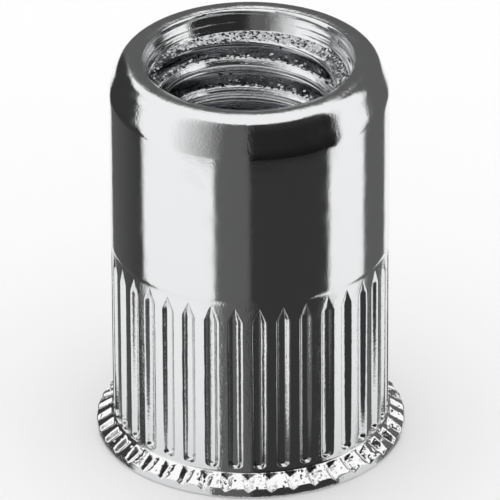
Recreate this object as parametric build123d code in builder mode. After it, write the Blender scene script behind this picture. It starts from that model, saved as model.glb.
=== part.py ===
"""Blind rivet nut, M8 x 1.25: open end, knurled sleeve and a small serrated flange, in one piece.

Millimetres, +Z up. The origin is the centre of the flange's outer face, so the nut stands on its
flange with the threaded end up, and the axis of the thread is Z.
"""
import os
from math import atan2, cos, radians, tan

from build123d import *

# Shank and threaded end
total_length = 16.4
shank_diameter = 11.0
end_diameter = 10.12
lead_in_length = 1.35
end_edge_radius = 0.7

# Thread and mouth: the bore is the thread's minor diameter, and the counterbore above it tapers
thread_minor_diameter = 6.647
counterbore_mouth_diameter = 8.36
counterbore_floor_diameter = 7.8
counterbore_depth = 0.88
counterbore_floor_angle = 140.0
mouth_chamfer = 0.06

# Sleeve that collapses when the nut is set
sleeve_bore_diameter = 9.2
sleeve_bore_depth = 7.4
shoulder_angle = 120.0
sleeve_entry_chamfer = 0.15

# Small flange with its serrated under-head cone
flange_diameter = 12.24
rim_height = 0.4
rim_edge_chamfer = 0.08
cone_height = 0.43

# Serrations of the cone: V notches whose root line runs out at the rim
serration_count = 42
serration_phase = 3.0
serration_angle = 112.0
serration_inner_depth = 0.2
serration_rim_depth = 0.1
collar_width = 0.05

# Knurl: concave grooves that rise to the surface steeply below and slowly above
groove_count = 36
groove_phase = 3.75
groove_width = 0.58
groove_depth = 0.12
groove_bottom_height = 1.1
groove_top_height = 8.2
groove_entry_length = 0.18
run_out_length = 0.55
cutter_clearance = 0.05

# Radii and heights that follow from the sizes above
shank_radius = shank_diameter / 2
flange_radius = flange_diameter / 2
sleeve_radius = sleeve_bore_diameter / 2
thread_radius = thread_minor_diameter / 2
counterbore_mouth_radius = counterbore_mouth_diameter / 2
counterbore_floor_radius = counterbore_floor_diameter / 2
end_radius = end_diameter / 2
collar_height = rim_height + cone_height
lead_in_start = total_length - lead_in_length
counterbore_edge_height = total_length - counterbore_depth
floor_drop = (counterbore_floor_radius - thread_radius) / tan(radians(counterbore_floor_angle / 2))
end_face_width = end_radius - counterbore_mouth_radius - mouth_chamfer
shoulder_height = (sleeve_radius - thread_radius) / tan(radians(shoulder_angle / 2))

# The groove's section is an arc through its two edges and its deepest point
groove_half_width = groove_width / 2
groove_arc_radius = (groove_half_width**2 + groove_depth**2) / (2 * groove_depth)
groove_arc_centre = shank_radius + groove_arc_radius - groove_depth


def leaning_end(edge_height, length, way):
    """Outer end and corner of the groove cutter's axis, for an end that leaves the shank at edge_height."""
    lean = atan2(groove_depth, length)
    sideways = groove_arc_radius * (1 / cos(lean) - 1)
    outer_end = (groove_depth + sideways + cutter_clearance, edge_height - way * cutter_clearance / tan(lean))
    corner = (0, edge_height + way * (length + sideways / tan(lean)))
    return outer_end, corner


# Round bar that cuts one groove: its middle is straight, and both ends lean out of the shank
lower_end, lower_corner = leaning_end(groove_bottom_height, groove_entry_length, 1)
upper_end, upper_corner = leaning_end(groove_top_height, run_out_length, -1)
with BuildPart() as groove_cutter:
    with BuildLine(Plane.XZ) as cutter_path:
        Polyline(lower_end, lower_corner, upper_corner, upper_end)
    with BuildSketch(Plane(origin=cutter_path.line @ 0, z_dir=cutter_path.line % 0)):
        Circle(groove_arc_radius)
    sweep(path=cutter_path.line, transition=Transition.RIGHT)

# Straight V cutter for one serration: its root line falls from the shank to clear of the rim
cone_top = Vector(shank_radius, 0, collar_height)
cone_foot = Vector(flange_radius, 0, rim_height)
cone_slope = (cone_foot - cone_top).normalized()
cone_normal = Vector(-cone_slope.Z, 0, cone_slope.X)
root_start = cone_top + cone_slope * collar_width - cone_normal * serration_inner_depth
root_end = cone_foot - cone_normal * serration_rim_depth
root_direction = (root_end - root_start).normalized()
root_length = (root_end - root_start).length
cutter_half_width = root_length * tan(radians(serration_angle / 2))
with BuildPart() as serration_cutter:
    with BuildSketch(Plane(origin=root_start, x_dir=(0, 1, 0), z_dir=root_direction)):
        with BuildLine():
            Polyline(
                (0, 0),
                (cutter_half_width, root_length),
                (-cutter_half_width, root_length),
                close=True,
            )
        make_face()
    extrude(amount=2 * root_length)

with BuildPart() as rivet_nut_body:
    # Half section of the whole nut, turned about its axis
    with BuildSketch(Plane.XZ) as section:
        with BuildLine():
            Polyline(
                (sleeve_radius, 0),
                (flange_radius, 0),
                (flange_radius, rim_height),
                (shank_radius, collar_height),
                (shank_radius, lead_in_start),
                (end_radius, total_length),
                (counterbore_mouth_radius, total_length),
                (counterbore_floor_radius, counterbore_edge_height),
                (thread_radius, counterbore_edge_height - floor_drop),
                (thread_radius, sleeve_bore_depth + shoulder_height),
                (sleeve_radius, sleeve_bore_depth),
                close=True,
            )
        make_face()
        end_edge = section.vertices().sort_by_distance((end_radius, total_length))[0]
        fillet(end_edge, min(end_edge_radius, end_face_width))
        chamfer(section.vertices().sort_by_distance((counterbore_mouth_radius, total_length))[0], mouth_chamfer)
        chamfer(section.vertices().sort_by_distance((flange_radius, 0))[0], rim_edge_chamfer)
        chamfer(section.vertices().sort_by_distance((sleeve_radius, 0))[0], sleeve_entry_chamfer)
    revolve(axis=Axis.Z)

    # Grooves of the knurl, side by side round the sleeve
    with PolarLocations(groove_arc_centre, groove_count, start_angle=groove_phase):
        add(groove_cutter.part, mode=Mode.SUBTRACT)

    # Serrations round the flange's cone
    with PolarLocations(0, serration_count, start_angle=serration_phase):
        add(serration_cutter.part, mode=Mode.SUBTRACT)

rivet_nut_body.part.label = "rivet_nut_body"

os.makedirs("parts", exist_ok=True)
export_step(rivet_nut_body.part, "parts/rivet_nut_body.step")
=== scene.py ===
"""Blind rivet nut, M8 x 1.25: bright zinc plated steel, standing on its flange on a pale studio floor."""
import math
import random

import bmesh
import bpy
from bpy.props import FloatProperty, FloatVectorProperty, IntProperty, PointerProperty
from mathutils import Matrix, Vector, noise


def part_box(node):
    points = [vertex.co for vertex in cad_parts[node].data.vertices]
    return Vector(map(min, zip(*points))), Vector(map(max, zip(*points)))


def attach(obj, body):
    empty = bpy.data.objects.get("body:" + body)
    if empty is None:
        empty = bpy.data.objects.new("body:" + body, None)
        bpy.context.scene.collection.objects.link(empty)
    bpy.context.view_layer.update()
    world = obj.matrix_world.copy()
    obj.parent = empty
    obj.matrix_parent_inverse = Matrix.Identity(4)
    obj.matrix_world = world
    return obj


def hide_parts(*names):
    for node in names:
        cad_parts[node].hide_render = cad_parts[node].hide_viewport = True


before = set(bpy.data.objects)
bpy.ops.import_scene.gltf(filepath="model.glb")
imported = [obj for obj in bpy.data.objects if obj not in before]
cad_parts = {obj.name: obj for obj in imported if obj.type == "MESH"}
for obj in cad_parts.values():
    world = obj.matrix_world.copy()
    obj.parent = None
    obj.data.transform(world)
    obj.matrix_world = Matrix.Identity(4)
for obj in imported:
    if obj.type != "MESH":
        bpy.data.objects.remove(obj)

bl_info = {
    "name": "Blind Rivet Nut",
    "version": (1, 0, 0),
    "blender": (4, 5, 0),
    "location": "3D View > Sidebar > Rivet Nut",
    "description": "Builds a knurled rivet nut with its thread, and a pale studio stage",
    "category": "Object",
}

NODE = "rivet_nut_body"
MM = 0.001
TURN = 2 * math.pi
NODE_LOW, NODE_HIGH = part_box(NODE)
LENGTH = (NODE_HIGH.z - NODE_LOW.z) / MM
FLANGE_RADIUS = (NODE_HIGH.x - NODE_LOW.x) / 2 / MM

# Each flank of a metric thread leans 30 degrees from a plane across the axis
FLANK_SLOPE = math.tan(math.radians(30))
# Cones of 140 and 120 degrees, which the drill left as the counterbore's floor and the sleeve's shoulder
FLOOR_SLOPE = math.tan(math.radians(70))
SHOULDER_SLOPE = math.tan(math.radians(60))

# Angles of the first groove and of the first serration
GROOVE_PHASE = math.radians(3.75)
SERRATION_PHASE = math.radians(3.0)

# Columns of the mesh round the shank, over one serration, and round the thread and the sleeve's bore
SHANK_COLUMNS = 288
TOOTH_COLUMNS = 16
THREAD_COLUMNS = 216
SLEEVE_COLUMNS = 144

# Places of the finishes in the nut's list of materials
ZINC_SHANK, ZINC_KNURL, ZINC_SERRATION, ZINC_RIM, ZINC_END = range(5)
ZINC_MOUTH, ZINC_FLOOR, ZINC_CREST, ZINC_FLANK, ZINC_SLEEVE, ZINC_TAPER = range(5, 11)


def linear(hex_colour):
    """Linear RGBA of an sRGB hex colour such as C8CACC."""
    channels = [int(hex_colour[i:i + 2], 16) / 255 for i in (0, 2, 4)]
    return tuple(c / 12.92 if c <= 0.04045 else ((c + 0.055) / 1.055) ** 2.4 for c in channels) + (1.0,)


class RivetNutSizes(bpy.types.PropertyGroup):
    """Sizes of the nut, in millimetres. The solid has the same forms, with plainer grooves and no thread."""

    shank_diameter: FloatProperty(
        name="Shank Diameter", description="Outside of the smooth shank", default=11.0
    )
    end_diameter: FloatProperty(
        name="End Diameter", description="Lead-in taper at the end face", default=10.12
    )
    lead_in: FloatProperty(
        name="Lead-in Length", description="Length of the taper at the threaded end", default=1.35
    )
    end_radius: FloatProperty(
        name="End Edge Radius", description="Rounding of the end face's edge", default=0.7
    )
    mouth_diameter: FloatProperty(
        name="Mouth Diameter", description="Counterbore at the end face", default=8.36
    )
    mouth_chamfer: FloatProperty(name="Mouth Chamfer", description="Broken edge of the mouth", default=0.06)
    floor_diameter: FloatProperty(
        name="Counterbore Floor", description="Counterbore at its floor", default=7.8
    )
    counterbore_depth: FloatProperty(
        name="Counterbore Depth", description="Down to the floor's corner", default=0.88
    )
    minor_diameter: FloatProperty(
        name="Thread Minor Diameter", description="Across the crests", default=6.647
    )
    major_diameter: FloatProperty(
        name="Thread Major Diameter", description="Across the roots, as tapped", default=8.16
    )
    pitch: FloatProperty(name="Thread Pitch", description="Rise of the thread in one turn", default=1.25)
    sleeve_diameter: FloatProperty(name="Sleeve Bore", description="Wide bore behind the flange", default=9.2)
    sleeve_depth: FloatProperty(name="Sleeve Depth", description="Depth of the wide bore", default=7.4)
    rim_height: FloatProperty(name="Rim Height", description="Upright rim of the flange", default=0.4)
    cone_height: FloatProperty(name="Cone Height", description="Serrated cone above the rim", default=0.4)
    teeth: IntProperty(name="Serrations", description="Notches round the flange", default=42)
    grooves: IntProperty(name="Grooves", description="Grooves round the sleeve", default=36)
    groove_width: FloatProperty(name="Groove Width", description="Width at the shank's surface", default=0.6)
    groove_depth: FloatProperty(
        name="Groove Depth", description="Depth below the shank's surface", default=0.19
    )
    groove_bottom: FloatProperty(
        name="Groove Bottom", description="Height of the round lower end", default=0.98
    )
    groove_top: FloatProperty(name="Groove Top", description="Height of the pointed upper end", default=8.2)
    run_out: FloatProperty(name="Groove Run-out", description="Length of the pointed end", default=0.62)
    roller_step: FloatProperty(
        name="Roller Step", description="How far the knurling pressed the sleeve in", default=0.03
    )


class RivetNutFinish(bpy.types.PropertyGroup):
    """Colours of the zinc plate and of the studio."""

    zinc: FloatVectorProperty(
        name="Zinc",
        description="Bright zinc plate",
        subtype="COLOR",
        size=4,
        min=0,
        max=1,
        default=linear("ECEDEE"),
    )
    # A lighter copy of the zinc for the serrated cone: it paints brighter reflections on its lands
    pressed: FloatVectorProperty(
        name="Pressed Zinc",
        description="Burnished plate on the serrations",
        subtype="COLOR",
        size=4,
        min=0,
        max=1,
        default=linear("FAFAFA"),
    )
    # Darker than the zinc: partly the duller cut steel on the counterbore's floor and the flanks, and partly
    # painted shade in the thread's roots
    torn: FloatVectorProperty(
        name="Torn Zinc",
        description="Thinner plate where the steel was cut",
        subtype="COLOR",
        size=4,
        min=0,
        max=1,
        default=linear("CACCCE"),
    )
    # A darker copy of the zinc for the sleeve's bore: painted shade deep in the bore
    inside: FloatVectorProperty(
        name="Inside Zinc",
        description="Thin plate deep in the sleeve",
        subtype="COLOR",
        size=4,
        min=0,
        max=1,
        default=linear("A4A6A8"),
    )
    floor: FloatVectorProperty(
        name="Floor",
        description="Studio floor",
        subtype="COLOR",
        size=4,
        min=0,
        max=1,
        default=linear("FFFFFF"),
    )
    camera_distance: FloatProperty(
        name="Camera Distance", description="From the aim point", unit="LENGTH", default=0.42
    )
    camera_elevation: FloatProperty(
        name="Camera Elevation", description="Above the floor", subtype="ANGLE", default=math.radians(29.11)
    )


def node(tree, kind, links=None, **settings):
    """Adds a node, sets its properties and sockets by name or number, and links its inputs to other nodes."""
    made = tree.nodes.new(kind)
    for key, value in settings.items():
        if hasattr(made, key):
            setattr(made, key, value)
    for key, value in settings.items():
        if not hasattr(made, key):
            made.inputs[int(key) if key.isdigit() else key].default_value = value
    for key, socket in (links or {}).items():
        tree.links.new(socket, made.inputs[key])
    return made


def new_material(name):
    """An empty node material with its output node."""
    material = bpy.data.materials.new(name)
    material.use_nodes = True
    material.node_tree.nodes.clear()
    return material, material.node_tree, material.node_tree.nodes.new("ShaderNodeOutputMaterial")


def ring(bm, points):
    """Vertices at (radius, angle, height) points, which are in millimetres round the nut's axis."""
    return [bm.verts.new((r * math.cos(a) * MM, r * math.sin(a) * MM, z * MM)) for r, a, z in points]


def bridge(bm, lower, upper, slot):
    """Quads of one finish between two rings that have as many vertices."""
    count = len(lower)
    for i in range(count):
        j = (i + 1) % count
        face = bm.faces.new((lower[i], lower[j], upper[j], upper[i]))
        face.material_index = slot
        face.smooth = True


def angle_of(vert):
    """Angle of a vertex round the nut's axis, from 0 to one turn."""
    return math.atan2(vert.co.y, vert.co.x) % TURN


def zip_rings(bm, lower, upper, slot):
    """Triangles of one finish between two rings that have different numbers of vertices."""
    low = sorted(lower, key=angle_of)
    high = sorted(upper, key=angle_of)
    i = j = 0
    while i < len(low) or j < len(high):
        next_low = angle_of(low[i + 1]) if i + 1 < len(low) else TURN + angle_of(low[(i + 1) % len(low)])
        next_high = angle_of(high[j + 1]) if j + 1 < len(high) else TURN + angle_of(high[(j + 1) % len(high)])
        a, b = low[i % len(low)], high[j % len(high)]
        if j >= len(high) or (i < len(low) and next_low <= next_high):
            corners = (a, low[(i + 1) % len(low)], b)
            i += 1
        else:
            corners = (a, high[(j + 1) % len(high)], b)
            j += 1
        face = bm.faces.new(corners)
        face.material_index = slot
        face.smooth = True


def wander(*place):
    """Smooth noise from -1 to 1. Factors in the place say how fast it changes, and the rest picks a spot."""
    return noise.noise(Vector(place))


def between(low, high, share):
    """The value that lies at a share of the way from low to high."""
    return low + (high - low) * share


# Section of a groove: place across it, and share of its depth. The roller left its left wall the steeper one
GROOVE_SECTION = (
    (-1, 0), (-0.9, 0.1), (-0.77, 0.45), (-0.64, 0.82), (-0.54, 0.95), (-0.35, 0.99), (-0.05, 1.0),
    (0.2, 0.97), (0.34, 0.86), (0.5, 0.6), (0.68, 0.3), (0.84, 0.07), (1, 0),
)
# Columns of a land, as shares of the way over it
LAND_SECTION = (0.08, 0.35, 0.65, 0.92)

# Lower end of a groove, in millimetres: its corners seen from outside, and its step in section
GROOVE_CORNER = 0.2
GROOVE_STEP = 0.14
# Half width of a groove beyond its ends, which keeps its columns apart
CLOSED_GROOVE = 0.02
# Power of the upper end's sides, where 1 is a straight-sided point
POINT_CURVE = 0.95

# How uneven the roller's work is: shares of a groove's width, and millimetres at its two ends and on a land
WIDTH_SPREAD = 0.06
EDGE_WAVE = 0.05
EDGE_NICK = 0.02
BOTTOM_SPREAD = 0.03
TOP_SPREAD = 0.09
LAND_SWELL = 0.006

# Rows of the mesh past a groove's lower end and above its tip, and in its straight and pointed stretches
LOWER_RISES = (-0.05, -0.02, 0.0, 0.02, 0.045, 0.075, 0.11, 0.15, 0.2, 0.26)
UPPER_RISES = (0.14, 0.18, 0.22, 0.26, 0.3, 0.34)
STRAIGHT_ROWS = 14
POINT_ROWS = 13
# The close rows of the pointed end start this far below it, and end this far above its tip
POINT_MARGIN = 0.1
TIP_MARGIN = 0.06

# Where the pressed-in sleeve starts to rise to the shank above the grooves, and over what length
RISE_START = 0.1
RISE_LENGTH = 0.2


def knurl_columns(sizes):
    """Columns round the sleeve: (groove number, place across, share of the depth or None on a land)."""
    columns = []
    for k in range(sizes.grooves):
        columns += [(k, place, share) for place, share in GROOVE_SECTION]
        columns += [(k, place, None) for place in LAND_SECTION]
    return columns


def groove_size(sizes, k, height):
    """Half width and depth of groove k at a height: a round step at the lower end, a point at the upper."""
    width = sizes.groove_width / 2 * (1 + WIDTH_SPREAD * wander(k * 3.1, 0.3, 7.7))
    bottom = sizes.groove_bottom + BOTTOM_SPREAD * wander(k * 1.7, 5.2, 0)
    top = sizes.groove_top + TOP_SPREAD * wander(k * 2.3, 9.1, 0)
    if height <= bottom or height >= top:
        return CLOSED_GROOVE, 0.0
    depth = sizes.groove_depth
    if height < bottom + GROOVE_CORNER:
        width *= math.sqrt(1 - ((bottom + GROOVE_CORNER - height) / GROOVE_CORNER) ** 2)
    if height < bottom + GROOVE_STEP:
        depth *= 1 - ((bottom + GROOVE_STEP - height) / GROOVE_STEP) ** 2
    waves = EDGE_WAVE * wander(k * 5.1, height * 1.6, 2.0)
    width *= 1 + waves + EDGE_NICK * wander(k * 2.9, height * 7.0, 5.0)
    if height > top - sizes.run_out:
        left = (top - height) / sizes.run_out
        width *= left**POINT_CURVE
        depth *= left
    return max(width, CLOSED_GROOVE), depth


def knurl_heights(sizes):
    """Heights of the rings of the grooved stretch, which are closer together at the grooves' ends."""
    collar = sizes.rim_height + sizes.cone_height
    bottom = sizes.groove_bottom
    top = sizes.groove_top
    heights = [collar, (collar + bottom) / 2]
    heights += [bottom + rise for rise in LOWER_RISES]
    straight_from = bottom + LOWER_RISES[-1]
    point_from = top - sizes.run_out - POINT_MARGIN
    straight = point_from - straight_from
    heights += [straight_from + straight * i / STRAIGHT_ROWS for i in range(1, STRAIGHT_ROWS + 1)]
    point = top + TIP_MARGIN - point_from
    heights += [point_from + point * math.sin(math.pi / 2 * i / POINT_ROWS) for i in range(1, POINT_ROWS + 1)]
    heights += [top + rise for rise in UPPER_RISES]
    return heights


def knurled_sleeve(bm, sizes):
    """Grooved stretch, from the collar to just above the grooves; returns its first and last ring."""
    radius = sizes.shank_diameter / 2
    step = TURN / sizes.grooves
    columns = knurl_columns(sizes)
    rings = []
    for height in knurl_heights(sizes):
        grooves = [groove_size(sizes, k, height) for k in range(sizes.grooves)]
        share = min(1.0, max(0.0, (height - sizes.groove_top - RISE_START) / RISE_LENGTH))
        pressed = sizes.roller_step * (1 - share * share * (3 - 2 * share))
        points = []
        for k, place, share_of_depth in columns:
            centre = GROOVE_PHASE + k * step
            half_width, depth = grooves[k]
            if share_of_depth is not None:
                angle = centre + place * half_width / radius
                points.append((radius - depth * share_of_depth - pressed, angle, height))
            else:
                start = centre + half_width / radius
                end = centre + step - grooves[(k + 1) % sizes.grooves][0] / radius
                swell = LAND_SWELL * wander(k * 4.3, height * 2.2, place * 3)
                points.append((radius + swell - pressed, between(start, end, place), height))
        rings.append(ring(bm, points))
    for lower, upper in zip(rings, rings[1:]):
        bridge(bm, lower, upper, ZINC_KNURL)
    return rings[0], rings[-1]


# Even rows of the smooth shank: the first one's height above the grooves, and what they leave at both ends
SHANK_START = 0.45
SHANK_MARGINS = 1.2
SHANK_ROWS = 6
# Height of the drawn shank's slow waves
SHANK_WAVE = 0.0025
# Rounding between the shank and its taper, and the rows of it, of the taper and of the end's rounded edge
TAPER_BLEND = 1.6
BLEND_ROWS = 8
TAPER_ROWS = 4
EDGE_ROWS = 12
# How far the end face falls away towards the mouth, as a sheared and tumbled end does, and its rows
FACE_DROP = 0.05
FACE_ROWS = 6
# Gaps between the end face's rows and the rounded edge and the mouth's chamfer
CROWN_GAP = 0.04
MOUTH_GAP = 0.02
# Rows of the rounded edge that have the end face's finish
TUMBLED_ROWS = 4


def arc(centre, radius, first, last, rows):
    """(radius, height) points on an arc in the nut's section, from one angle to another."""
    angles = [first + (last - first) * i / rows for i in range(rows + 1)]
    return [(centre[0] + radius * math.cos(a), centre[1] + radius * math.sin(a)) for a in angles]


def end_profile(sizes):
    """(radius, height) points of the shank's end up to the mouth, and where its taper and end face start."""
    radius = sizes.shank_diameter / 2
    end = sizes.end_diameter / 2
    taper = math.atan2(radius - end, sizes.lead_in)
    start = LENGTH - sizes.lead_in
    even = start - sizes.groove_top - SHANK_MARGINS
    points = [
        (radius, sizes.groove_top + SHANK_START + even * i / SHANK_ROWS) for i in range(SHANK_ROWS + 1)
    ]
    taper_row = len(points) + BLEND_ROWS // 2
    blend_centre = (radius - TAPER_BLEND, start - TAPER_BLEND * math.tan(taper / 2))
    points += arc(blend_centre, TAPER_BLEND, 0.0, taper, BLEND_ROWS)
    # The rounded edge is tangent to the taper and to the end face
    tangent = sizes.end_radius * math.tan((math.pi / 2 - taper) / 2)
    centre = (end - tangent, LENGTH - sizes.end_radius)
    edge = arc(centre, sizes.end_radius, taper, math.pi / 2, EDGE_ROWS)
    below = points[-1]
    for i in range(1, TAPER_ROWS):
        points.append(tuple(low + (high - low) * i / TAPER_ROWS for low, high in zip(below, edge[0])))
    points += edge
    face = len(points) - TUMBLED_ROWS
    mouth = sizes.mouth_diameter / 2 + sizes.mouth_chamfer + MOUTH_GAP
    crown = centre[0] - CROWN_GAP
    points += [
        (crown + (mouth - crown) * i / FACE_ROWS, LENGTH - FACE_DROP * (i / FACE_ROWS) ** 2)
        for i in range(FACE_ROWS + 1)
    ]
    return points, taper_row, face


def smooth_end(bm, sizes, below):
    """Smooth shank, lead-in taper and end face, on top of the knurl's last ring; returns the mouth's ring."""
    profile, taper_row, face = end_profile(sizes)
    rings = []
    for r, z in profile:
        points = []
        for i in range(SHANK_COLUMNS):
            a = TURN * i / SHANK_COLUMNS
            wave = SHANK_WAVE * wander(2.5 * math.cos(a), 2.5 * math.sin(a), z * 0.5)
            points.append((r + wave, a, z))
        rings.append(ring(bm, points))
    zip_rings(bm, below, rings[0], ZINC_SHANK)
    slots = [ZINC_SHANK] * taper_row + [ZINC_TAPER] * (face - taper_row) + [ZINC_END] * (len(rings) - face)
    for lower, upper, slot in zip(rings, rings[1:], slots):
        bridge(bm, lower, upper, slot)
    return rings[-1]


# Height of a crest's middle at the back of the mouth, where the thread's first turn is in sight
CREST_AT_BACK = 14.24
# Rows of the thread's profile where the tap tore the steel, and how often it did
TORN_ROWS = range(9, 14)
TORN_CHANCE = 0.4
# How far points stray there, on the counterbore's floor and elsewhere
TORN_ROUGH = 0.012
FLOOR_ROUGH = 0.015
TAPPED_ROUGH = 0.003
# The counterbore's floor is rough up to this far over its corner
FLOOR_MARGIN = 0.05
# The floor's finish starts this far above its lower end, and this far outside the crests
FLOOR_EDGE = 0.02
CREST_MARGIN = 0.06
# The lining's ends, which other rings meet, are left smooth over these lengths
SMOOTH_BOTTOM = 0.1
SMOOTH_TOP = 0.15
# Height of the counterbore's upright lip
LIP_HEIGHT = 0.2
CHANCE_SEED = 12


def thread_profile(sizes):
    """(height above the crest's middle, radius) points over one pitch, and how many are on the crest."""
    minor = sizes.minor_diameter / 2
    root = sizes.major_diameter / 2
    edge = sizes.pitch / 8
    # The crest's lower edge is a fine lip with a scratch above it, and its upper side is rolled over
    crest = [(-0.155, 0.004), (-0.14, 0.0), (-0.125, 0.006), (-0.11, 0.03), (-0.085, 0.034), (-0.065, 0.018)]
    crest += [(-0.03, 0.02), (0.01, 0.05), (0.05, 0.055), (0.1, 0.085), (0.16, 0.14)]
    flank = [edge + (root - minor) * FLANK_SLOPE * share for share in (0.24, 0.38, 0.52, 0.68, 0.84, 0.97)]
    lower_flank = [flank[-1], edge + 0.27, edge + 0.13, edge + 0.03]
    upper = [(u, (u - edge) / FLANK_SLOPE) for u in flank] + [(sizes.pitch / 2, root - minor)]
    lower = [(sizes.pitch - u, (u - edge) / FLANK_SLOPE) for u in lower_flank]
    return [(u, minor + r) for u, r in crest + upper + lower], len(crest)


def bore_limit(sizes, height):
    """Radius of the plain bore at a height: shoulder, minor diameter, counterbore floor, wall and chamfer."""
    minor = sizes.minor_diameter / 2
    shoulder = sizes.sleeve_depth + (sizes.sleeve_diameter / 2 - minor) / SHOULDER_SLOPE
    corner = LENGTH - sizes.counterbore_depth
    floor = sizes.floor_diameter / 2
    wall = sizes.mouth_diameter / 2
    # The wall leans over most of its height and is upright at the lip
    lean = (wall - floor) / (sizes.counterbore_depth - LIP_HEIGHT)
    if height < corner:
        cone = floor - (corner - height) * FLOOR_SLOPE
        return max(minor, minor + (shoulder - height) * SHOULDER_SLOPE, cone)
    return max(min(wall, floor + (height - corner) * lean), wall + sizes.mouth_chamfer - (LENGTH - height))


def fit_rows(rows, creases, sizes):
    """Moves the nearest row onto each level crease, and onto each place where the thread leaves the bore."""
    marks = list(creases)
    for low, high in zip(rows, rows[1:]):
        before = low[1] - bore_limit(sizes, low[0])
        after = high[1] - bore_limit(sizes, high[0])
        if before * after < 0:
            marks.append(low[0] + (high[0] - low[0]) * before / (before - after))
    for mark in marks:
        nearest = min(range(len(rows)), key=lambda n: abs(rows[n][0] - mark))
        row = rows[nearest]
        other = rows[max(0, min(len(rows) - 1, nearest + (1 if mark > row[0] else -1)))]
        if other[0] != row[0]:
            row[1] += (other[1] - row[1]) * (mark - row[0]) / (other[0] - row[0])
        row[0] = mark


def lining(bm, sizes):
    """Counterbore, thread and shoulder as one lining; returns its columns of vertices."""
    profile, crest_rows = thread_profile(sizes)
    rows = len(profile)
    minor = sizes.minor_diameter / 2
    corner = LENGTH - sizes.counterbore_depth
    floor_end = corner - (sizes.floor_diameter / 2 - minor) / FLOOR_SLOPE
    shoulder = sizes.sleeve_depth + (sizes.sleeve_diameter / 2 - minor) / SHOULDER_SLOPE
    bottom = sizes.sleeve_depth
    creases = (shoulder, floor_end, corner, LENGTH - sizes.mouth_chamfer)
    first = math.floor((bottom - CREST_AT_BACK) / sizes.pitch) - 2
    last = math.ceil((LENGTH - CREST_AT_BACK) / sizes.pitch) + 1
    chance = random.Random(CHANCE_SEED)
    grid = []
    for i in range(THREAD_COLUMNS):
        share = i / THREAD_COLUMNS
        angle = math.pi / 2 + TURN * share
        # Each row is [height, radius, number in the thread's profile], and climbs along the helix
        column = [
            [CREST_AT_BACK + (t + share) * sizes.pitch + u, r, j]
            for t in range(first, last)
            for j, (u, r) in enumerate(profile)
        ]
        fit_rows([row for row in column if bottom < row[0] < LENGTH], creases, sizes)
        points = []
        for z, r, j in column:
            height = min(max(z, bottom), LENGTH)
            limit = bore_limit(sizes, height)
            height = min(height, LENGTH - FACE_DROP)
            radius = max(r, limit)
            if bottom + SMOOTH_BOTTOM < height < LENGTH - SMOOTH_TOP:
                rough = TAPPED_ROUGH
                if r >= limit and j in TORN_ROWS and chance.random() < TORN_CHANCE:
                    rough = TORN_ROUGH
                elif floor_end < height < corner + FLOOR_MARGIN:
                    rough = FLOOR_ROUGH
                radius += rough * (chance.random() - 0.5)
                height += rough * (chance.random() - 0.5)
            points.append((radius, angle, height))
        grid.append(ring(bm, points))
    for i, here in enumerate(grid):
        there = grid[(i + 1) % THREAD_COLUMNS]
        # From the last column back to the first, a row goes on as the one a turn of the thread further up
        shift = rows if i + 1 == THREAD_COLUMNS else 0
        for j in range(len(here) - 1 - shift):
            face = bm.faces.new((here[j], here[j + 1], there[j + 1 + shift], there[j + shift]))
            middle = sum(v.co.z for v in face.verts) / 4 / MM
            face.material_index = ZINC_CREST if j % rows < crest_rows else ZINC_FLANK
            if middle > floor_end + FLOOR_EDGE and here[j].co.xy.length > (minor + CREST_MARGIN) * MM:
                face.material_index = ZINC_MOUTH if middle > corner else ZINC_FLOOR
            face.smooth = True
    return grid


# How far a notch's two walls lean from upright, in degrees. The one that faces right is the steeper one
RIGHT_WALL = 50
LEFT_WALL = 62
# Depth of a notch at the rim, what it has more at the collar, and the share by which notches differ
NOTCH_DEPTH = 0.13
NOTCH_EXTRA = 0.05
NOTCH_SPREAD = 0.15
# Share of the cone over which a notch starts, and the height of the pressed steel's grain
NOTCH_START = 0.05
PRESSED_ROUGH = 0.003
# Shares of the way down the cone and down the rim at which the mesh has a ring
CONE_SHARES = (0, 0.03, 0.07, 0.13, 0.25, 0.4, 0.55, 0.7, 0.82, 0.92, 1.0)
RIM_SHARES = (0.08, 0.35, 0.7, 1.0)
# Wear that keeps the rim inside the flange's size: at its upper edge, below it, and how uneven both are
EDGE_WORN = 0.012
RIM_WORN = 0.004
RIM_UNEVEN = 0.004
# Broken edges of the flange's outer face and of the sleeve's entry, and a ring between them
RIM_CHAMFER = 0.08
RIM_CORNER = 0.03
ENTRY_CHAMFER = 0.15
FACE_RING = 5.4


def cone_point(sizes, share, index):
    """(radius, angle, height) of one point of the serrated cone, at a share of the way down it."""
    radius = sizes.shank_diameter / 2
    collar = sizes.rim_height + sizes.cone_height
    pitch = TURN / sizes.teeth
    slope = math.atan2(sizes.cone_height, FLANGE_RADIUS - radius)
    r = radius + (FLANGE_RADIUS - radius) * share
    tooth, step = divmod(index, TOOTH_COLUMNS)
    offset = (step / TOOTH_COLUMNS - 0.5) * pitch
    angle = SERRATION_PHASE + (tooth + 0.5) * pitch + offset
    lateral = r * (pitch / 2 - abs(offset))
    wall = math.tan(math.radians(RIGHT_WALL if offset > 0 else LEFT_WALL))
    root = NOTCH_DEPTH + NOTCH_EXTRA * (1 - share**3)
    root *= 1 + NOTCH_SPREAD * wander(tooth * 3.7, 1.2, 0)
    notch = max(0.0, root - lateral / wall) * min(1.0, share / NOTCH_START)
    rough = PRESSED_ROUGH * wander(math.cos(angle) * 26, math.sin(angle) * 26, share * 6) * min(1, share * 4)
    return r, angle, collar - sizes.cone_height * share - (notch + rough) / math.cos(slope)


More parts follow.
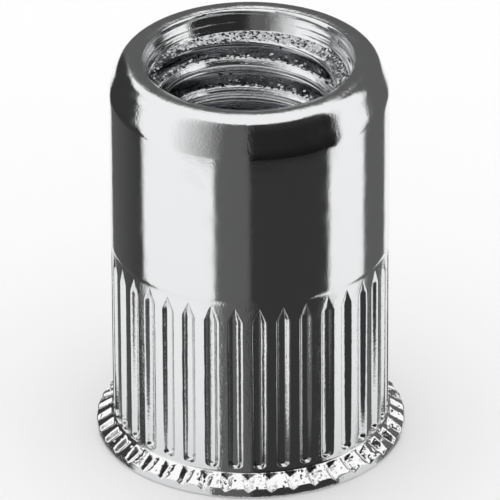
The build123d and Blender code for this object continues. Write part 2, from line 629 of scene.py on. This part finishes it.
def serrated_flange(bm, sizes, collar_ring):
    """Notched cone, rim, chamfer and outer face of the flange; returns the ring at the sleeve's entry."""
    columns = range(sizes.teeth * TOOTH_COLUMNS)
    rings = [ring(bm, [cone_point(sizes, share, i) for i in columns]) for share in CONE_SHARES]
    rim_edge = [cone_point(sizes, 1.0, i) for i in columns]
    for share in RIM_SHARES:
        worn = EDGE_WORN if share == RIM_SHARES[0] else RIM_WORN
        points = []
        for r, a, z in rim_edge:
            height = between(z, RIM_CHAMFER, share)
            uneven = RIM_UNEVEN * wander(math.cos(a) * 9, math.sin(a) * 9, height * 4)
            points.append((r - worn + uneven, a, height))
        rings.append(ring(bm, points))
    for r, z in (
        (FLANGE_RADIUS - RIM_CORNER, RIM_CORNER),
        (FLANGE_RADIUS - RIM_CHAMFER, 0),
        (FACE_RING, 0),
        (sizes.sleeve_diameter / 2 + ENTRY_CHAMFER, 0),
    ):
        rings.append(ring(bm, [(r, a, z) for _, a, _ in rim_edge]))
    zip_rings(bm, rings[0], collar_ring, ZINC_SERRATION)
    for index, (upper, lower) in enumerate(zip(rings, rings[1:])):
        bridge(bm, lower, upper, ZINC_RIM if index >= len(CONE_SHARES) else ZINC_SERRATION)
    return rings[-1]


# In metres: rows that the bore's ends press together are merged, and a point this near a level is on it
MERGE_DISTANCE = 2e-7
LEVEL_TOLERANCE = 1e-7
# Heights of the sleeve bore's rings above its entry
SLEEVE_LEVELS = (ENTRY_CHAMFER, 2.0, 4.0, 6.0)


def edge_ring(verts, height):
    """The vertices that lie on a level, given in millimetres."""
    return [v for v in verts if abs(v.co.z - height * MM) < LEVEL_TOLERANCE]


def build_nut(sizes):
    """The whole nut as one closed mesh."""
    bm = bmesh.new()
    collar_ring, knurl_top = knurled_sleeve(bm, sizes)
    mouth_ring = smooth_end(bm, sizes, knurl_top)
    entry_ring = serrated_flange(bm, sizes, collar_ring)
    grid = lining(bm, sizes)
    bmesh.ops.remove_doubles(bm, verts=[v for column in grid for v in column], dist=MERGE_DISTANCE)
    open_verts = {v for e in bm.edges if e.is_boundary for v in e.verts}
    zip_rings(bm, edge_ring(open_verts - set(mouth_ring), LENGTH - FACE_DROP), mouth_ring, ZINC_END)
    sleeve = sizes.sleeve_diameter / 2
    angles = [TURN * i / SLEEVE_COLUMNS for i in range(SLEEVE_COLUMNS)]
    walls = [ring(bm, [(sleeve, a, z) for a in angles]) for z in SLEEVE_LEVELS]
    zip_rings(bm, entry_ring, walls[0], ZINC_SLEEVE)
    for lower, upper in zip(walls, walls[1:]):
        bridge(bm, lower, upper, ZINC_SLEEVE)
    zip_rings(bm, walls[-1], edge_ring(open_verts, sizes.sleeve_depth), ZINC_SLEEVE)
    bmesh.ops.recalc_face_normals(bm, faces=bm.faces)
    mesh = bpy.data.meshes.new("rivet_nut_zinc_plated")
    bm.to_mesh(mesh)
    bm.free()
    return mesh


# Sizes of the plate's patterns in millimetres: the drawn or pressed steel's waves, and its duller patches
WAVE_MM = 0.9
PATCH_MM = 0.5
# Share of its roughness that the plate has in its clear and its dull patches
CLEAR = 0.7
DULL = 1.4
# Distance between the lines that a tool left
MARK_MM = 0.07
# The real flakes of torn steel are 0.02 to 0.1 mm wide. Finer ones than these would not show
FLAKE_MM = 0.09
# Share of the flakes that are tilted where the tool cut cleanly
CLEAN_SHARE = 0.1


def zinc_material(name, colour, roughness, grain_mm, grain_slope, wave_slope, marks=None, flakes=None):
    """Bright zinc plate. Grain and waves are given by their size and by how far they tilt the surface.

    The plate's crystals are about 0.01 mm wide, too fine to show, so the grain is drawn about 0.1 mm wide.
    """
    material, tree, output = new_material(name)
    place = node(tree, "ShaderNodeTexCoord").outputs["Object"]
    grain = node(tree, "ShaderNodeTexNoise", {"Vector": place}, Scale=1 / (grain_mm * MM), Detail=3.0)
    height = node(
        tree,
        "ShaderNodeMath",
        {0: grain.outputs["Fac"]},
        operation="MULTIPLY",
        **{"1": grain_mm * MM * grain_slope},
    ).outputs["Value"]
    # Slow waves of the drawn or pressed surface bend the reflections' edges
    wave = node(tree, "ShaderNodeTexNoise", {"Vector": place}, Scale=1 / (WAVE_MM * MM), Detail=2.0)
    height = node(
        tree,
        "ShaderNodeMath",
        {0: wave.outputs["Fac"], 2: height},
        operation="MULTIPLY_ADD",
        **{"1": WAVE_MM * MM * wave_slope},
    ).outputs["Value"]
    if marks:
        height = tool_marks(tree, place, height, *marks)
    patches = node(tree, "ShaderNodeTexNoise", {"Vector": place}, Scale=1 / (PATCH_MM * MM), Detail=4.0)
    dulled = node(
        tree,
        "ShaderNodeMapRange",
        {"Value": patches.outputs["Fac"]},
        **{"From Min": 0.35, "From Max": 0.65, "To Min": roughness * CLEAR, "To Max": roughness * DULL},
    )
    normal = node(tree, "ShaderNodeBump", {"Height": height}, Distance=1.0, Strength=1.0).outputs["Normal"]
    if flakes:
        normal = torn_flakes(tree, place, normal, *flakes)
    shader = node(
        tree,
        "ShaderNodeBsdfPrincipled",
        {"Roughness": dulled.outputs["Result"], "Normal": normal},
        Metallic=1.0,
    )
    shader.inputs["Base Color"].default_value = colour
    tree.links.new(shader.outputs["BSDF"], output.inputs["Surface"])
    return material


def from_axis(tree, place):
    """Distance of a place from the nut's axis, and the place's three coordinates."""
    parts = node(tree, "ShaderNodeSeparateXYZ", {"Vector": place})
    flat = node(tree, "ShaderNodeCombineXYZ", {"X": parts.outputs["X"], "Y": parts.outputs["Y"]})
    radius = node(tree, "ShaderNodeVectorMath", {0: flat.outputs["Vector"]}, operation="LENGTH")
    return radius.outputs["Value"], parts.outputs


def tool_marks(tree, place, height, climb_mm, slope):
    """Adds the fine lines that a cutter left. They tilt the surface by a slope, and climb every turn."""
    radius, parts = from_axis(tree, place)
    depth = node(tree, "ShaderNodeMath", {0: radius, 1: parts["Z"]}, operation="SUBTRACT")
    # The angle jumps at the front, where the near wall hides the bore
    angle = node(tree, "ShaderNodeMath", {0: parts["X"], 1: parts["Y"]}, operation="ARCTAN2")
    along = node(
        tree,
        "ShaderNodeMath",
        {0: angle.outputs["Value"], 2: depth.outputs["Value"]},
        operation="MULTIPLY_ADD",
        **{"1": -climb_mm * MM / TURN},
    )
    lines = node(
        tree,
        "ShaderNodeTexNoise",
        {"W": along.outputs["Value"]},
        noise_dimensions="1D",
        Scale=1 / (MARK_MM * MM),
        Detail=2.0,
    )
    return node(
        tree,
        "ShaderNodeMath",
        {0: lines.outputs["Fac"], 2: height},
        operation="MULTIPLY_ADD",
        **{"1": MARK_MM * MM * slope},
    ).outputs["Value"]


def torn_flakes(tree, place, normal, tilt, clean_radius, torn_radius, cover_share):
    """Tilts flakes of the surface at random: the cover's share at torn_radius, and few at clean_radius."""
    cells = node(tree, "ShaderNodeTexVoronoi", {"Vector": place}, Scale=1 / (FLAKE_MM * MM))
    radius, _ = from_axis(tree, place)
    cover = node(
        tree,
        "ShaderNodeMapRange",
        {"Value": radius},
        **{
            "From Min": torn_radius * MM,
            "From Max": clean_radius * MM,
            "To Min": cover_share,
            "To Max": CLEAN_SHARE,
        },
    )
    tint = cells.outputs["Color"]
    torn = node(tree, "ShaderNodeMath", {0: tint, 1: cover.outputs["Result"]}, operation="LESS_THAN")
    strength = node(tree, "ShaderNodeMath", {0: torn.outputs["Value"]}, operation="MULTIPLY", **{"1": tilt})
    centred = node(tree, "ShaderNodeVectorMath", {0: tint}, operation="SUBTRACT", **{"1": (0.5, 0.5, 0.5)})
    lean = node(
        tree,
        "ShaderNodeVectorMath",
        {0: centred.outputs["Vector"], "Scale": strength.outputs["Value"]},
        operation="SCALE",
    )
    tilted = node(tree, "ShaderNodeVectorMath", {0: normal, 1: lean.outputs["Vector"]}, operation="ADD")
    unit = node(tree, "ShaderNodeVectorMath", {0: tilted.outputs["Vector"]}, operation="NORMALIZE")
    return unit.outputs["Vector"]


class MESH_OT_rivet_nut(bpy.types.Operator):
    """Builds the rivet nut as one plated piece and puts it in the solid's place"""

    bl_idname = "mesh.rivet_nut"
    bl_label = "Rivet Nut"

    def execute(self, context):
        sizes = context.scene.rivet_nut_sizes
        finish = context.scene.rivet_nut_finish
        nut = bpy.data.objects.new("rivet_nut_zinc_plated", build_nut(sizes))
        context.collection.objects.link(nut)
        zinc, pressed, torn, inside = (
            tuple(colour) for colour in (finish.zinc, finish.pressed, finish.torn, finish.inside)
        )
        # Name, colour, roughness, grain size, slopes of the grain and of the waves, then a cutter's marks as
        # (climb, slope) and torn flakes as (tilt, clean radius, torn radius, share). Lengths in millimetres
        for args in (
            # Cold drawn and plated bright: nearly a mirror, whose slow waves only bend the reflections' edges
            ("zinc_plate_drawn_shank", zinc, 0.09, 0.07, 0.035, 0.006),
            # Rolled in by the knurling tool: as bright, and a little uneven along every ridge
            ("zinc_plate_rolled_knurl", zinc, 0.1, 0.08, 0.1, 0.01),
            # Pressed by a toothed die: lands in a lighter copy of the zinc, which paints brighter reflections
            # on them, with pitted walls between them
            ("zinc_plate_pressed_serration_painted_light", pressed, 0.08, 0.12, 0.06, 0.03, None, (0.45, 7.0, 6.5, 0.3)),
            # Squeezed out at the die's edge and tumbled: its reflections break up into patches
            ("zinc_plate_rim", zinc, 0.14, 0.09, 0.3, 0.03),
            # Sheared and tumbled end: a dull grey sheen with soft dark and light patches
            ("zinc_plate_end_face", zinc, 0.14, 0.08, 0.14, 0.05),
            # Turned with a pointed tool: mirror bright, crossed by fine rings
            ("zinc_plate_turned_mouth", zinc, 0.08, 0.06, 0.05, 0.02, (0.0, 0.13)),
            # Floor where the counterbore broke the steel: crushed flakes that glitter black and white
            ("zinc_plate_torn_floor", torn, 0.07, 0.12, 0.12, 0.05, None, (2.4, 5.0, 4.5, 0.7)),
            # Crest that the tap rubbed: bright, with fine lines that run along the thread
            ("zinc_plate_thread_crest", zinc, 0.1, 0.06, 0.08, 0.03, (sizes.pitch, 0.6)),
            # Flank that the tap cut: smooth, in a darker colour that is partly the duller cut steel and
            # partly painted shade in the root, with torn crumbs sparkling near the crest
            ("zinc_plate_cut_flank_painted_shade", torn, 0.07, 0.07, 0.03, 0.02, None, (2.6, 3.85, 3.4, 0.65)),
            # Bore as punched: satin, in a darker grey that paints the shade deep in the sleeve
            ("zinc_plate_sleeve_painted_shade", inside, 0.28, 0.08, 0.3, 0.05),
            # Taper squeezed in by the die and tumbled: softer and more clouded than the shank below it
            ("zinc_plate_tumbled_taper", zinc, 0.11, 0.1, 0.055, 0.015),
        ):
            nut.data.materials.append(zinc_material(*args))
        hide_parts(NODE)
        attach(nut, "root")
        return {"FINISHED"}


# Studio of cards that only the metal sees: an upright wall round the nut, in millimetres, with a dome on top
# that starts at an elevation. Angles are in degrees, from the camera's side and positive to its right
WALL_RADIUS = 34.0
WALL_TOP = 16.0
EYE_HEIGHT = 15.5
# Room between the flange and the floor's cards, and how high these lie
FLANGE_GAP = 0.05
CARD_LIFT = 0.01
# Degrees that one column of a card covers on the floor and in the sky, and the rows of a sky card
FLOOR_STEP = 2
SKY_STEP = 4
SKY_ROWS = 6


def card_material():
    """Even light whose grey is kept at the corners of each card."""
    material, tree, output = new_material("studio_card_light")
    tone = node(tree, "ShaderNodeAttribute", attribute_name="tone", attribute_type="GEOMETRY")
    glow = node(tree, "ShaderNodeEmission", {"Color": tone.outputs["Fac"]}, Strength=1.0)
    tree.links.new(glow.outputs["Emission"], output.inputs["Surface"])
    return material


def grey(tone):
    """Light of a two-digit sRGB grey such as E6."""
    return linear(tone * 3)[0]


def add_card(collection, light, name, rows):
    """A card from rows of (point in millimetres, light) pairs, which only the metal sees."""
    bm = bmesh.new()
    layer = bm.verts.layers.float.new("tone")
    grid = []
    for row in rows:
        line = []
        for place, tone in row:
            vert = bm.verts.new(place * MM)
            vert[layer] = tone
            line.append(vert)
        grid.append(line)
    for low, high in zip(grid, grid[1:]):
        for i in range(len(low) - 1):
            bm.faces.new((low[i], low[i + 1], high[i + 1], high[i]))
    mesh = bpy.data.meshes.new(name)
    bm.to_mesh(mesh)
    bm.free()
    card = bpy.data.objects.new(name, mesh)
    collection.objects.link(card)
    mesh.materials.append(light)
    card.visible_camera = False
    card.visible_diffuse = False
    card.visible_shadow = False
    card.visible_transmission = False


def heading(degrees):
    """Unit vector over the floor; 0 points to the camera and positive angles go to its right."""
    a = math.radians(degrees)
    return Vector((math.sin(a), -math.cos(a), 0))


def floor_card(collection, light, name, first, last, tone_first, tone_last):
    """Card on the floor, from the flange out to the wall, that the shank shows between two angles.

    A mirror turns a ray by twice its own angle.
    """
    steps = max(2, round(abs(last - first) / FLOOR_STEP))
    near = []
    far = []
    for i in range(steps + 1):
        share = i / steps
        angle = between(first, last, share)
        tone = between(grey(tone_first), grey(tone_last), share)
        foot = heading(angle) * (FLANGE_RADIUS + FLANGE_GAP)
        away = heading(2 * angle)
        along = foot.dot(away)
        reach = math.sqrt(WALL_RADIUS**2 - foot.length_squared + along**2) - along
        lift = Vector((0, 0, CARD_LIFT))
        near.append((foot + lift, tone))
        far.append((foot + away * reach + lift, tone))
    add_card(collection, light, name, [near, far])


def sky_point(azimuth, elevation):
    """Point of the surroundings as the nut sees it: an upright wall round it, with a dome on top."""
    if elevation <= WALL_TOP:
        height = EYE_HEIGHT + WALL_RADIUS * math.tan(math.radians(elevation))
        return heading(azimuth) * WALL_RADIUS + Vector((0, 0, max(CARD_LIFT, height)))
    tilt = math.radians(elevation)
    dome = WALL_RADIUS / math.cos(math.radians(WALL_TOP))
    return heading(azimuth) * dome * math.cos(tilt) + Vector((0, 0, EYE_HEIGHT + dome * math.sin(tilt)))


def sky_card(collection, light, name, low, high):
    """Card between two elevations; low and high are (elevation, azimuth, azimuth, tone, tone)."""
    steps = max(2, round(max(abs(low[2] - low[1]), abs(high[2] - high[1])) / SKY_STEP))
    rows = []
    for j in range(SKY_ROWS + 1):
        up = j / SKY_ROWS
        elevation = between(low[0], high[0], up)
        row = []
        for i in range(steps + 1):
            share = i / steps
            azimuth = between(between(low[1], low[2], share), between(high[1], high[2], share), up)
            tone = between(
                between(grey(low[3]), grey(low[4]), share), between(grey(high[3]), grey(high[4]), share), up
            )
            row.append((sky_point(azimuth, elevation), tone))
        rows.append(row)
    add_card(collection, light, name, rows)


# The studio's four greys, from the white of its paper to a black flag
WHITE, GREY, CHARCOAL, BLACK = "FF", "60", "38", "14"

# The flags stand where the photograph's reflections have their dark bands, to 5 degrees or so.
# Flags that lie round the nut: name, the angles round the shank between which they show, and the grey at each
FLOOR_CARDS = (
    ("flag_low_left", -80, -50, GREY, CHARCOAL),
    ("flag_low_front", -15, 0, GREY, GREY),
    ("flag_low_front_right", 0, 35, CHARCOAL, CHARCOAL),
    ("flag_low_right", 55, 75, GREY, GREY),
)
# Flags that stand round it, by their lower and upper edge, each as (elevation, azimuth, azimuth, grey, grey)
SKY_CARDS = (
    ("flag_left", (-25, -150, -85, CHARCOAL, CHARCOAL), (30, -150, -110, CHARCOAL, CHARCOAL)),
    ("flag_front_left", (-25, -60, -20, WHITE, GREY), (50, -60, -20, WHITE, GREY)),
    ("flag_front", (-25, -20, 0, GREY, GREY), (50, -20, 0, GREY, GREY)),
    ("flag_front_right", (-25, 0, 70, BLACK, BLACK), (50, 0, 70, CHARCOAL, CHARCOAL)),
    ("flag_right", (-25, 95, 150, GREY, GREY), (50, 120, 150, GREY, GREY)),
    ("flag_back", (-10, 150, 210, GREY, GREY), (50, 150, 210, GREY, GREY)),
)


# Half the floor's width, in metres
FLOOR_REACH = 2.0
# The photograph's frame: its width in pixels, and how many of them make a millimetre at the point aimed at
FRAME_PIXELS = 500
PIXELS_PER_MM = 25.337
AIM_HEIGHT = 7.81
CAMERA_ROLL = math.radians(-0.3)
SENSOR_WIDTH = 36.0
# What the camera sees at all, in metres
CLIP_START = 0.02
CLIP_END = 10.0


def add_floor(collection, colour):
    """Pale matt floor with a soft shadow."""
    bm = bmesh.new()
    bmesh.ops.create_grid(bm, x_segments=1, y_segments=1, size=FLOOR_REACH)
    mesh = bpy.data.meshes.new("studio_floor")
    bm.to_mesh(mesh)
    bm.free()
    floor = bpy.data.objects.new("studio_floor", mesh)
    collection.objects.link(floor)
    material, tree, output = new_material("matt_white_paper")
    shader = node(tree, "ShaderNodeBsdfDiffuse")
    shader.inputs["Color"].default_value = colour
    tree.links.new(shader.outputs["BSDF"], output.inputs["Surface"])
    mesh.materials.append(material)


def add_world(scene):
    """Even white surroundings."""
    world = bpy.data.worlds.new("white_studio")
    world.use_nodes = True
    world.node_tree.nodes.clear()
    background = node(world.node_tree, "ShaderNodeBackground", Strength=1.0)
    background.inputs["Color"].default_value = linear("FFFFFF")
    output = world.node_tree.nodes.new("ShaderNodeOutputWorld")
    world.node_tree.links.new(background.outputs["Background"], output.inputs["Surface"])
    scene.world = world


def add_camera(scene, finish):
    """Camera in front of the nut, a little above it, as the photograph's."""
    data = bpy.data.cameras.new("studio_camera")
    camera = bpy.data.objects.new("studio_camera", data)
    scene.collection.objects.link(camera)
    frame_width = FRAME_PIXELS / PIXELS_PER_MM * MM
    data.sensor_width = SENSOR_WIDTH
    data.lens = data.sensor_width * finish.camera_distance / frame_width
    aim = Vector((0, 0, AIM_HEIGHT * MM))
    elevation = finish.camera_elevation
    back = Vector((0, -math.cos(elevation), math.sin(elevation)))
    turn = (-back).to_track_quat("-Z", "Y").to_matrix().to_4x4()
    roll = Matrix.Rotation(CAMERA_ROLL, 4, "Z")
    camera.matrix_world = Matrix.Translation(aim + back * finish.camera_distance) @ turn @ roll
    data.clip_start = CLIP_START
    data.clip_end = CLIP_END
    scene.camera = camera


class SCENE_OT_rivet_nut_stage(bpy.types.Operator):
    """Builds the floor, the white surroundings, the cards and the camera"""

    bl_idname = "scene.rivet_nut_stage"
    bl_label = "Studio Stage"

    def execute(self, context):
        scene = context.scene
        finish = scene.rivet_nut_finish
        light = card_material()
        for card in FLOOR_CARDS:
            floor_card(context.collection, light, *card)
        for card in SKY_CARDS:
            sky_card(context.collection, light, *card)
        add_floor(context.collection, tuple(finish.floor))
        add_world(scene)
        add_camera(scene, finish)
        scene.view_settings.view_transform = "Standard"
        return {"FINISHED"}


class VIEW3D_PT_rivet_nut(bpy.types.Panel):
    """Lists the nut and its stage"""

    bl_label = "Rivet Nut"
    bl_space_type = "VIEW_3D"
    bl_region_type = "UI"
    bl_category = "Rivet Nut"

    def draw(self, context):
        column = self.layout.column()
        for operator in (MESH_OT_rivet_nut, SCENE_OT_rivet_nut_stage):
            column.operator(operator.bl_idname)


CLASSES = (RivetNutSizes, RivetNutFinish, MESH_OT_rivet_nut, SCENE_OT_rivet_nut_stage, VIEW3D_PT_rivet_nut)


def register():
    """Adds the classes and the scene's properties."""
    for cls in CLASSES:
        bpy.utils.register_class(cls)
    bpy.types.Scene.rivet_nut_sizes = PointerProperty(type=RivetNutSizes)
    bpy.types.Scene.rivet_nut_finish = PointerProperty(type=RivetNutFinish)


def unregister():
    """Takes the scene's properties and the classes out again."""
    del bpy.types.Scene.rivet_nut_finish
    del bpy.types.Scene.rivet_nut_sizes
    for cls in reversed(CLASSES):
        bpy.utils.unregister_class(cls)


def main():
    """Builds the nut and its stage."""
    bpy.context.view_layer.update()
    register()
    bpy.ops.mesh.rivet_nut()
    bpy.ops.scene.rivet_nut_stage()
    bpy.context.view_layer.update()


if __name__ == "__main__":
    main()
